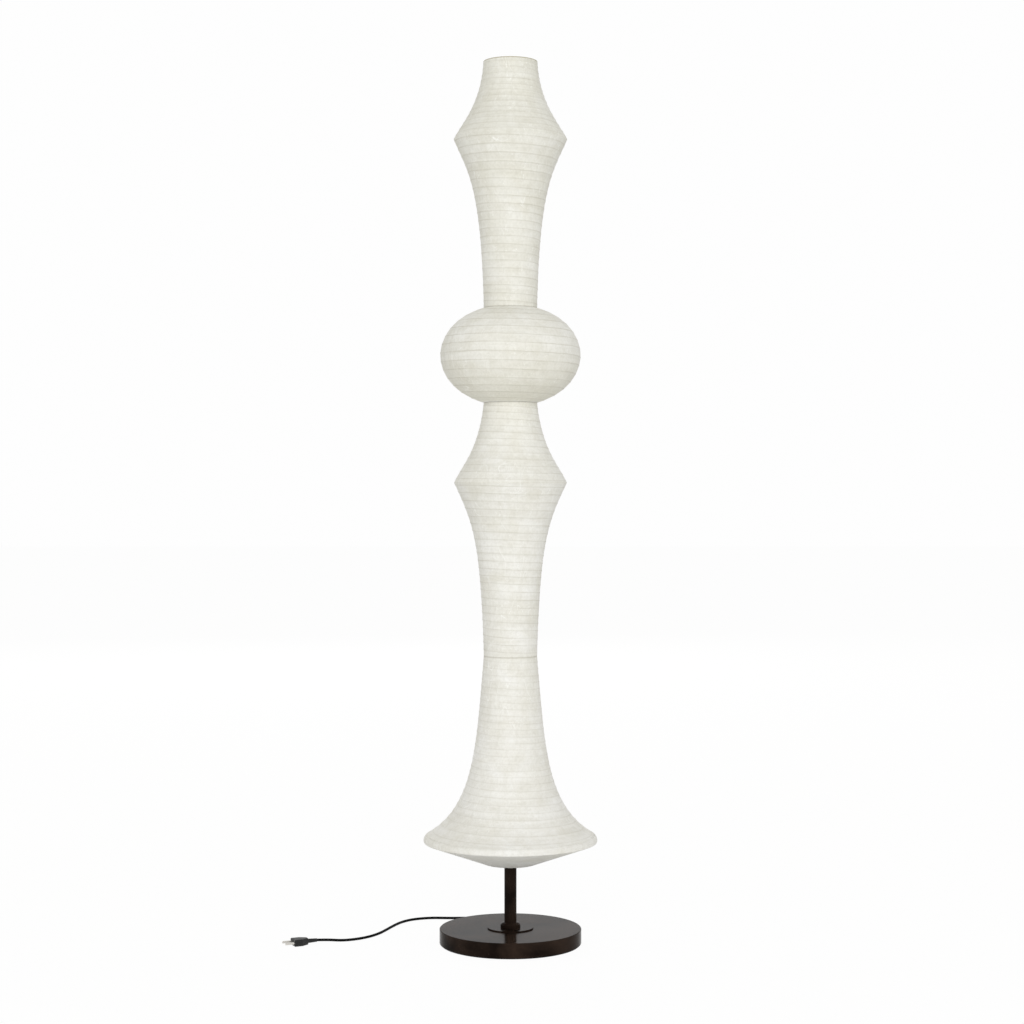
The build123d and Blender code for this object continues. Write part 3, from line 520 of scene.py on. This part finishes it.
def level_rows(outline):
    """Rows of (point, marks) round a stretch of (radius, height, hem mark) that has no ribs."""
    rows = []
    for radius, height, mark in outline:
        row = []
        for column in range(columns):
            angle = math.pi / 2 + 2 * math.pi * column / columns
            point = Vector((radius * math.cos(angle), radius * math.sin(angle), height))
            row.append((point, (0.0, mark, 0.0)))
        rows.append(row)
    return rows


def stitch(shape, layers, rows, ahead):
    """Add rows to the skin. The rows of a winding meet again so many rows ahead."""
    grid = []
    for row in rows:
        made = []
        for point, marks in row:
            corner = shape.verts.new(point)
            for layer, mark in zip(layers, marks):
                corner[layer] = mark
            made.append(corner)
        grid.append(made)
    for upper in range(len(grid) - 1):
        for column in range(columns):
            turned = column == columns - 1
            beside = 0 if turned else column + 1
            here = upper + ahead if turned else upper
            if here + 1 < len(grid):
                left = (grid[upper][column], grid[upper + 1][column])
                right = (grid[here + 1][beside], grid[here][beside])
                shape.faces.new(left + right)


def silk_cover(name, bands, head, foot):
    """One skin of silk: its turned upper edge, the wound stretches, and the turned lower edge."""
    shape = bmesh.new()
    layers = [shape.verts.layers.float.new(mark) for mark in ("rib", "hem", "glue")]
    stitch(shape, layers, level_rows(head), ahead=0)
    for band in bands:
        stitch(shape, layers, wound_rows(band), ahead=len(turn_shares))
    stitch(shape, layers, level_rows(foot), ahead=0)
    bmesh.ops.remove_doubles(shape, verts=shape.verts, dist=weld)
    loose = [corner for corner in shape.verts if not corner.link_faces]
    bmesh.ops.delete(shape, geom=loose, context="VERTS")
    cover = as_piece(name, shape)
    skin = cover.modifiers.new("thickness", "SOLIDIFY")
    skin.thickness = silk_thickness
    skin.offset = -1
    return cover


def hem(band, way, stain_and_shade):
    """Turned edge over a ring, from the end of the winding out: way is 1 at a top, -1 at a foot.

    On a steep side it rounds inwards over the ring, and on a shallow one it runs straight in.
    """
    end = band.top if way > 0 else band.foot
    # The turned edge carries the stain, darkened further as painted shade of the seam's gap and of the
    # mouth's edge.
    side = [(end + way * hem_depth * share, stain_and_shade * share) for share in (0.0, 0.5, 1.0)]
    rows = [(band.radius(height), height, mark) for height, mark in side]
    radius, height = rows[-1][:2]
    turned = hem_round + hem_proud
    inner = float(band.outline[0 if way > 0 else -1, 0]) - hem_round
    steep = radius - inner < 2 * hem_round
    for i in range(1, hem_steps + 1):
        share = i / hem_steps
        angle = math.pi / 2 * share
        inwards, onwards = (1 - math.cos(angle), math.sin(angle)) if steep else (share, share)
        rows.append((radius + (inner - radius) * inwards, height + way * turned * onwards, stain_and_shade))
    return rows


# Bell's rim: the silk turns over the wire ring at its widest, with a soft shoulder above and a
# crisp edge below, and slopes in underneath to a small ring round the pole, where it is turned up.
lip_drop = 0.0104
lip_round = 0.0110
lip_edge = 0.0026
lip_steps = 10
edge_steps = 6
under_steps = 16
foot_turn = ((0.0007, 0.0002), (0.0012, 0.0008))


def bell_lip_outline():
    """(radius, height, hem mark) down the rim: shoulder, edge, sloping underside, foot ring."""
    slope = math.atan(bell_lean)
    under = math.atan((bell_wide - foot_radius) / (bell_shoulder - lip_drop))
    shoulder_z = bell_rim[1] - lip_round * math.tan(slope / 2)
    edge_z = bell_rim[1] - lip_drop + lip_edge * math.tan(under / 2)
    points = []
    for i in range(lip_steps + 1):
        angle = slope * (1 - i / lip_steps)
        inwards, up = 1 - math.cos(angle), math.sin(angle)
        points.append((bell_wide - lip_round * inwards, shoulder_z + lip_round * up))
    for i in range(edge_steps + 1):
        angle = under * i / edge_steps
        inwards, down = 1 - math.cos(angle), math.sin(angle)
        points.append((bell_wide - lip_edge * inwards, edge_z - lip_edge * down))
    radius, height = points[-1]
    for i in range(1, under_steps + 1):
        share = i / under_steps
        points.append((radius + (foot_radius - radius) * share, height + (bell_foot - height) * share))
    points += [(foot_radius - inwards, bell_foot + up) for inwards, up in foot_turn]
    return [(radius, height, 0.0) for radius, height in points]


# Stretches of each cover, from the top down. The rib winds down a stretch in so many turns, and
# the turned edges take what is left above the first ring and below the last.
bell_edge = bell_lip_outline()
globe_side = np.concatenate([globe_high, globe_low[1:]])
hem_all = hem_depth + hem_round
bands = {
    "upper": [
        Band(
            upper_high, upper_head - hem_all, upper_waist[1], turns=13,
            seed=1, show=0.80, glue=(0.001, 0.001, 0.0),
        ),
        Band(
            upper_low, upper_waist[1], upper_foot + hem_all, turns=21,
            seed=2, show=0.92, glue=(0.001, 0.016, 0.25),
        ),
    ],
    "globe": [
        # The globe's tint from its foot reaches far up its lower half: painted shade where that half faces
        # the floor.
        Band(
            globe_side, globe_head - hem_all, globe_foot + hem_all, turns=13,
            seed=3, show=1.0, glue=(0.001, 0.080, 0.80), bulge=0.4,
        ),
    ],
    "lower": [
        Band(
            lower_high, lower_head - hem_all, lower_waist[1], turns=12,
            seed=4, show=0.80, glue=(0.012, 0.001, 0.35),
        ),
        Band(
            lower_low, lower_waist[1], lower_foot + hem_all, turns=23,
            seed=5, show=0.85, glue=(0.001, 0.008, 0.25),
        ),
    ],
    "bell": [
        Band(
            bell_flare, bell_head - hem_all, bell_edge[0][1], turns=27,
            seed=6, show=0.52, glue=(0.008, 0.001, 0.25),
        ),
    ],
}


# The silk's finish: undyed and creamy, between cloth and paper, with clouds, loose fibres and
# creases. It is darker where the rib lies behind it, and tinted where glue or a hem soaks it.
# Painted shade also darkens the globe's lower half, and the hems' stain carries painted shade
# of the seams and the mouth.
white = (1, 1, 1, 1)
silk_light = (0.912, 0.908, 0.886, 1)
silk_shade = (0.846, 0.835, 0.785, 1)
silk_fibre = (0.96, 0.96, 0.93, 1)
high_tint = (0.922, 0.922, 0.890, 1)
tint_from = 0.4
tint_to = 1.7
streak_tint = (0.945, 0.942, 0.928, 1)
fold_tint = (0.965, 0.962, 0.952, 1)
mottle_tint = (0.930, 0.928, 0.918, 1)
glue_and_shade_tint = (0.88, 0.865, 0.79, 1)
rib_line = (0.52, 0.49, 0.41, 1)
rib_show = 0.56
hem_line = (0.36, 0.32, 0.19, 1)
long_fibre_show = 0.75
short_fibre_show = 0.60
patch_share = 0.45
patch_edge = 0.06

# A Mix node's colour sockets share their names with its plain ones, so they go by number.
colour_in, top_colour_in, colour_out = 6, 7, 2


def multiplied(tree, colour, low, high, amount, start=0.0, end=1.0):
    """A colour times a tint that runs from low to high as amount goes from start to end."""
    mixed = tree.nodes.new("ShaderNodeMix")
    mixed.data_type = "RGBA"
    mixed.blend_type = "MULTIPLY"
    mixed.inputs["Factor"].default_value = 1.0
    tree.links.new(colour, mixed.inputs[colour_in])
    tree.links.new(between(tree, amount, low, high, start, end), mixed.inputs[top_colour_in])
    return mixed.outputs[colour_out]


def laid_over(tree, colour, top, amount):
    """A colour with another laid over it by an amount from 0 to 1."""
    mixed = tree.nodes.new("ShaderNodeMix")
    mixed.data_type = "RGBA"
    tree.links.new(amount, mixed.inputs["Factor"])
    tree.links.new(colour, mixed.inputs[colour_in])
    mixed.inputs[top_colour_in].default_value = top
    return mixed.outputs[colour_out]


def worked(tree, operation, one, two):
    """The result of a sum on two values, each a socket or a number."""
    done = tree.nodes.new("ShaderNodeMath")
    done.operation = operation
    for socket, value in zip(done.inputs, (one, two)):
        if isinstance(value, (int, float)):
            socket.default_value = value
        else:
            tree.links.new(value, socket)
    return done.outputs[0]


def fibre_amount(tree, scale, upright, width, cover):
    """Long loose fibres: thin lines of a stretched noise, kept only here and there."""
    wavy = grain(tree, scale, detail=1.5, stretch=(1, 1, upright), distortion=1.4)
    strand = worked(tree, "SUBTRACT", wavy, 0.5)
    thin = spread(tree, worked(tree, "ABSOLUTE", strand, 0.0), low=1.0, high=0.0, start=0.0, end=width)
    patches = grain(tree, scale * patch_share, detail=2)
    sparse = spread(tree, patches, low=0.0, high=1.0, start=cover, end=cover + patch_edge)
    return worked(tree, "MULTIPLY", thin, sparse)


def marked(tree, name):
    """A mark that the skin's mesh carries at its corners."""
    mark = tree.nodes.new("ShaderNodeAttribute")
    mark.attribute_name = name
    return mark.outputs["Fac"]


def height_above_floor(tree):
    """Height in metres of a point on the piece."""
    upright = tree.nodes.new("ShaderNodeSeparateXYZ")
    place = tree.nodes.new("ShaderNodeTexCoord")
    tree.links.new(place.outputs["Object"], upright.inputs["Vector"])
    return upright.outputs["Z"]


def silk_finish():
    """Undyed silk paper: creamy, cloudy, fibrous and creased, darker where it lies on the rib."""
    finish, tree, shader = start_finish("silk_paper", roughness=0.66, index=1.38)
    shader.inputs["Sheen Weight"].default_value = 0.08
    shader.inputs["Sheen Roughness"].default_value = 0.6
    cloud = grain(tree, scale=13, detail=5, stretch=(1, 1, 1.5), distortion=0.6)
    streak = grain(tree, scale=16, stretch=(0.5, 0.5, 7), distortion=0.4)
    fold = grain(tree, scale=26, stretch=(2.2, 2.2, 0.35), distortion=0.5)
    mottle = grain(tree, scale=190, detail=5, stretch=(1, 1, 0.8), distortion=0.7)
    colour = between(tree, cloud, silk_shade, silk_light, start=0.34, end=0.66)
    rise = spread(tree, height_above_floor(tree), low=0.0, high=1.0, start=tint_from, end=tint_to)
    colour = multiplied(tree, colour, white, high_tint, rise)
    colour = multiplied(tree, colour, streak_tint, white, streak, start=0.34, end=0.60)
    colour = multiplied(tree, colour, fold_tint, white, fold, start=0.36, end=0.58)
    colour = multiplied(tree, colour, mottle_tint, white, mottle, start=0.34, end=0.60)
    long_fibre = fibre_amount(tree, scale=15, upright=0.4, width=0.006, cover=0.53)
    short_fibre = fibre_amount(tree, scale=70, upright=0.5, width=0.016, cover=0.50)
    colour = laid_over(tree, colour, silk_fibre, worked(tree, "MULTIPLY", long_fibre, long_fibre_show))
    colour = laid_over(tree, colour, silk_fibre, worked(tree, "MULTIPLY", short_fibre, short_fibre_show))
    # Warm tint where the mesh is marked: real glue by the rings, and painted shade on the globe's lower
    # half.
    glued_and_shaded = worked(tree, "MULTIPLY", marked(tree, "glue"), spread(tree, cloud, low=0.5, high=1.0))
    colour = multiplied(tree, colour, white, glue_and_shade_tint, glued_and_shaded)
    patches = grain(tree, scale=17, detail=3, distortion=0.5)
    patchy = spread(tree, patches, low=0.45, high=1.0, start=0.36, end=0.60)
    line = worked(tree, "MULTIPLY", worked(tree, "MULTIPLY", marked(tree, "rib"), patchy), rib_show)
    colour = laid_over(tree, colour, rib_line, line)
    # Brown of the turned edges: hem stain with painted shade of the seams and the mouth laid in it.
    colour = laid_over(tree, colour, hem_line, marked(tree, "hem"))
    tree.links.new(colour, shader.inputs["Base Color"])
    fine = relief(tree, shader, mottle, depth=0.00018, strength=0.6)
    creased = relief(tree, shader, fold, depth=0.0011, strength=0.55, under=fine)
    relief(tree, shader, long_fibre, depth=0.00012, strength=0.5, under=creased)
    return finish


silk = silk_finish()


# Ribs: a long flat strip of split bamboo in each stretch of silk, wound inside it from ring to
# ring. It starts and ends a little short of the rings.
strip_gap = 0.0006
strip_depth = 0.0018
strip_width = 0.0020
strip_steps = 90
strip_start = 10
bamboo_dark = (0.50, 0.44, 0.33, 1)
bamboo_light = (0.60, 0.54, 0.42, 1)
split_bamboo = rubber_finish("rib_strip", bamboo_dark, bamboo_light, roughness=0.55)


def wound_rib(name, bands):
    """The rib's strip, as four edges that follow the winding."""
    inner = strip_gap + strip_depth
    edges = ((strip_gap, 1), (strip_gap, -1), (inner, -1), (inner, 1))
    shape = bmesh.new()
    for band in bands:
        sections = []
        for i in range(strip_start, strip_steps * band.turns - strip_start + 1):
            turn = i / strip_steps
            points = [band.point(turn, turn, -depth, side * strip_width / 2) for depth, side in edges]
            sections.append([shape.verts.new(point) for point in points])
        for one, two in zip(sections, sections[1:]):
            for i in range(len(edges)):
                j = (i + 1) % len(edges)
                shape.faces.new((one[i], one[j], two[j], two[i]))
        shape.faces.new(sections[0])
        shape.faces.new(sections[-1][::-1])
    return as_piece(name, shape, smooth=False)


# Each shade put together: its silk over its rib, with the edges turned in. The upper one lifts
# off with its frame. The mouth's edge is stained darkest, with painted shade of that edge in the
# stain, and the stain at the seams carries painted shade of the gaps between the shades.
shade_body = {"upper": "upper_shade", "globe": "lamp", "lower": "lamp", "bell": "lamp"}
for shade in shades:
    stain_and_shade = globe_seam_stain_and_shade if shade == "globe" else seam_stain_and_shade
    head = hem(bands[shade][0], 1, mouth_stain_and_shade if shade == "upper" else stain_and_shade)[::-1]
    foot = bell_edge if shade == "bell" else hem(bands[shade][-1], -1, stain_and_shade)
    cover = silk_cover(f"{shade}_silk_cover", bands[shade], head, foot)
    cover.data.materials.append(silk)
    strip = wound_rib(f"{shade}_wound_rib", bands[shade])
    strip.data.materials.append(split_bamboo)
    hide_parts(f"{shade}_silk")
    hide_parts(f"{shade}_ribs")
    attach(cover, shade_body[shade])
    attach(strip, shade_body[shade])


# Cord: black round flex out of a rubber gland behind the base, through the in-line switch, into
# a tied coil close behind the base, and along the floor to a flat plug on the left.
cord_diameter = 0.0055
coil_middle = (-0.0177, 0.1931)
coil_radii = (0.0330, 0.0275, 0.0220)
coil_levels = (0.0028, 0.0076)
coil_start = math.radians(280)
coil_past = 100 / 360
coil_steps_in = (0.9, 1.2, 1.8, 2.2)
climb_start = 2.7
climb_turns = 0.5
points_per_turn = 14
out_of_gland = [
    (0.1206, 0.1206, 0.0095), (0.1352, 0.1352, 0.0086), (0.1380, 0.1556, 0.0046),
    (0.1279, 0.1731, 0.0028), (0.1095, 0.1820, 0.0042), (0.0899, 0.1785, 0.0044),
]
switch_to_coil = [
    (0.0612, 0.1734, 0.0044), (0.0324, 0.1684, 0.0044), (-0.0120, 0.1606, 0.0028),
]
coil_to_plug = [
    (-0.0507, 0.1931, 0.0076), (-0.0522, 0.2096, 0.0066), (-0.0610, 0.2240, 0.0044),
    (-0.0775, 0.2332, 0.0028), (-0.1010, 0.2356, 0.0028), (-0.1260, 0.2341, 0.0028),
    (-0.1470, 0.2355, 0.0028), (-0.1680, 0.2367, 0.0028), (-0.1900, 0.2314, 0.0028),
    (-0.2140, 0.2186, 0.0028), (-0.2340, 0.1930, 0.0028), (-0.2480, 0.1580, 0.0028),
    (-0.2600, 0.1205, 0.0028), (-0.2720, 0.0850, 0.0028), (-0.2910, 0.0515, 0.0028),
    (-0.3160, 0.0278, 0.0028), (-0.3460, 0.0145, 0.0028), (-0.3740, 0.0105, 0.0054),
    (-0.3960, 0.0005, 0.0070),
]
flex_dark = (0.004, 0.004, 0.004, 1)
flex_light = (0.007, 0.007, 0.007, 1)
plug_dark = (0.009, 0.009, 0.009, 1)
plug_light = (0.015, 0.015, 0.015, 1)
pin_dark = (0.58, 0.56, 0.52, 1)
pin_light = (0.70, 0.68, 0.64, 1)


def coil_points():
    """Turns of the coil, clockwise seen from above: inwards on the floor, then outwards on top."""
    wide, middle, tight = coil_radii
    both_layers = 2 * len(coil_radii)
    turns = both_layers + coil_past
    count = int(turns * points_per_turn)
    points = []
    for i in range(1, count):
        turn = turns * i / count
        climbed = min(1.0, max(0.0, (turn - climb_start) / climb_turns))
        turns_in = min(turn, both_layers - turn)
        radius = np.interp(turns_in, coil_steps_in, (wide, middle, middle, tight))
        angle = coil_start - 2 * math.pi * turn
        x = coil_middle[0] + radius * math.cos(angle)
        y = coil_middle[1] + radius * math.sin(angle)
        points.append((x, y, coil_levels[0] + (coil_levels[1] - coil_levels[0]) * climbed))
    return points


def cord_line(name, points, diameter):
    """Round cord on one smooth line."""
    line = bpy.data.curves.new(name, "CURVE")
    line.dimensions = "3D"
    line.bevel_depth = diameter / 2
    line.bevel_resolution = 6
    line.use_fill_caps = True
    spline = line.splines.new("NURBS")
    spline.points.add(len(points) - 1)
    for control, point in zip(spline.points, points):
        control.co = (*point, 1)
    spline.order_u = 3
    spline.use_endpoint_u = True
    spline.resolution_u = 8
    return placed(name, line)


black_flex = rubber_finish("black_flex", flex_dark, flex_light, roughness=0.6, index=1.12, depth=0.00001)
cord = cord_line("mains_cord", out_of_gland + switch_to_coil + coil_points() + coil_to_plug, cord_diameter)
cord.data.materials.append(black_flex)
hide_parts("cord_feed", "cord_link", "cord_coil", "cord_run")
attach(cord, "lamp")
dress(black_rubber, "cord_gland", "coil_tie")
black_moulding = rubber_finish("black_moulding", plug_dark, plug_light, roughness=0.45, index=1.35)
dress(black_moulding, "switch_body", "switch_rocker", "plug_body")
dress(steel_finish("pin_nickel", pin_dark, pin_light, roughness=0.2), "plug_pins")


# Floor and surround: a white floor that keeps a faint shadow and runs into a white backdrop. The
# light that comes from all round is a little warm, and what the camera sees is plain white.
floor_span = 60
floor_white = (0.96, 0.96, 0.96, 1)
floor_glow = 0.96
surround = 0.58
backdrop = 0.99
warm_surround = (1, 0.993, 0.953, 1)


def seen_directly(tree):
    """1 for what the camera, a mirror or glass sees, 0 for light that falls on things."""
    rays = tree.nodes.new("ShaderNodeLightPath")
    found = rays.outputs["Is Camera Ray"]
    for other in ("Is Glossy Ray", "Is Transmission Ray"):
        found = worked(tree, "MAXIMUM", found, rays.outputs[other])
    return found


def floor_finish():
    """White floor that keeps a faint shadow."""
    finish, tree, shader = start_finish("white_floor", roughness=0.9)
    shader.inputs["Base Color"].default_value = floor_white
    shader.inputs["Specular IOR Level"].default_value = 0.0
    glow = tree.nodes.new("ShaderNodeEmission")
    glow.inputs["Color"].default_value = white
    share = spread(tree, seen_directly(tree), low=0.0, high=floor_glow, start=0.0, end=1.0)
    mixed = tree.nodes.new("ShaderNodeMixShader")
    tree.links.new(share, mixed.inputs["Fac"])
    tree.links.new(shader.outputs["BSDF"], mixed.inputs[1])
    tree.links.new(glow.outputs["Emission"], mixed.inputs[2])
    tree.links.new(mixed.outputs["Shader"], tree.nodes["Material Output"].inputs["Surface"])
    return finish


bpy.ops.mesh.primitive_plane_add(size=floor_span, location=(0, 0, 0))
floor = bpy.context.object
floor.name = "floor"
floor.data.materials.append(floor_finish())

world = bpy.data.worlds.new("surround")
world.use_nodes = True
sky_tree = world.node_tree
sky = sky_tree.nodes["Background"]
seen = seen_directly(sky_tree)
sky_level = spread(sky_tree, seen, low=surround, high=backdrop, start=0.0, end=1.0)
sky_colour = between(sky_tree, seen, warm_surround, white, start=0.0, end=1.0)
sky_tree.links.new(sky_level, sky.inputs["Strength"])
sky_tree.links.new(sky_colour, sky.inputs["Color"])
bpy.context.scene.world = world


# Light: one large soft light in front and above, and a weaker one behind that keeps the back of
# the silk from going grey.
light_size = (4.2, 2.6)
light_aim = Vector((0, 0, 0.8))
front_place = (0.35, -7.8, 3.8)
front_power = 278
back_place = (-0.8, 7.8, 3.4)
back_power = 160


def softbox(name, place, power):
    """Wide soft light aimed at the middle of the lamp."""
    panel = bpy.data.lights.new(name, "AREA")
    panel.shape = "RECTANGLE"
    panel.size, panel.size_y = light_size
    panel.energy = power
    light = placed(name, panel)
    light.location = place
    light.rotation_euler = (light_aim - light.location).to_track_quat("-Z", "Y").to_euler()
    return light


softbox("softbox", front_place, front_power)
back_fill = softbox("back_fill", back_place, back_power)
back_fill.visible_glossy = False


# Camera: at the photograph's place, a little above half the lamp's height and nearly level.
camera_distance = 4.153
camera_height = 0.925
camera_side = 0.0032
camera_tilt = math.radians(0.58)
focal_length = 71.5
far_limit = 100
lens = bpy.data.cameras.new("camera")
lens.lens = focal_length
lens.clip_end = far_limit
camera = placed("camera", lens)
camera.location = (camera_side, -camera_distance, camera_height)
camera.rotation_euler = (math.pi / 2 - camera_tilt, 0, 0)
bpy.context.scene.camera = camera
bpy.context.scene.view_settings.view_transform = "Standard"
